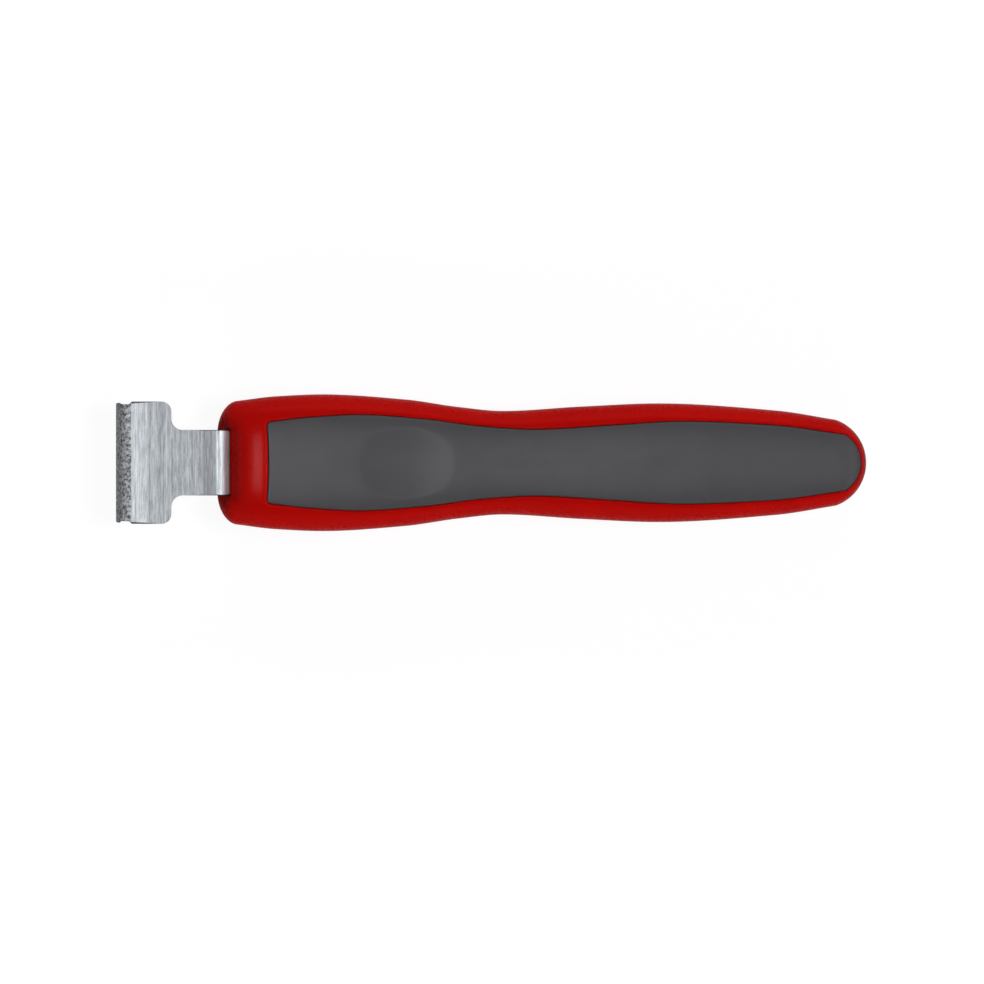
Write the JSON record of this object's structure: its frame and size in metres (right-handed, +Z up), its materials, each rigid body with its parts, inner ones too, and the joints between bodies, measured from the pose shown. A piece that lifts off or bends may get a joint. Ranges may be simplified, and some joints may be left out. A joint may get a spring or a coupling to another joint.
{
  "type": "hand scraper",
  "caption": "Hand scraper: a hooked steel blade on a cranked stem, its tang clamped in a waisted two-shell handle with soft grip panels and a thumb dish.",
  "frame": {"origin": "centre of the bounding box in plan, on the surface that the lower grip panel rests on", "axes": "+X along the tool from the blade to the tail, +Y across the handle, +Z up through the thumb side"},
  "size_m": [0.1536, 0.028, 0.0185],
  "materials": {
    "blade_steel": "rolled steel strip with grain across the tool",
    "handle_red": "semi-gloss moulded hard plastic",
    "grip_grey": "matte soft-touch moulding",
    "screw_zinc": "zinc-plated"
  },
  "bodies": {
    "root": {"scraper_blade": "blade_steel", "handle_shell_upper": "handle_red", "handle_shell_lower": "handle_red", "grip_panel_upper": "grip_grey", "grip_panel_lower": "grip_grey", "tang_screw_front": "screw_zinc", "tang_screw_rear": "screw_zinc", "tail_screw": "screw_zinc"}
  },
  "joints": []
}
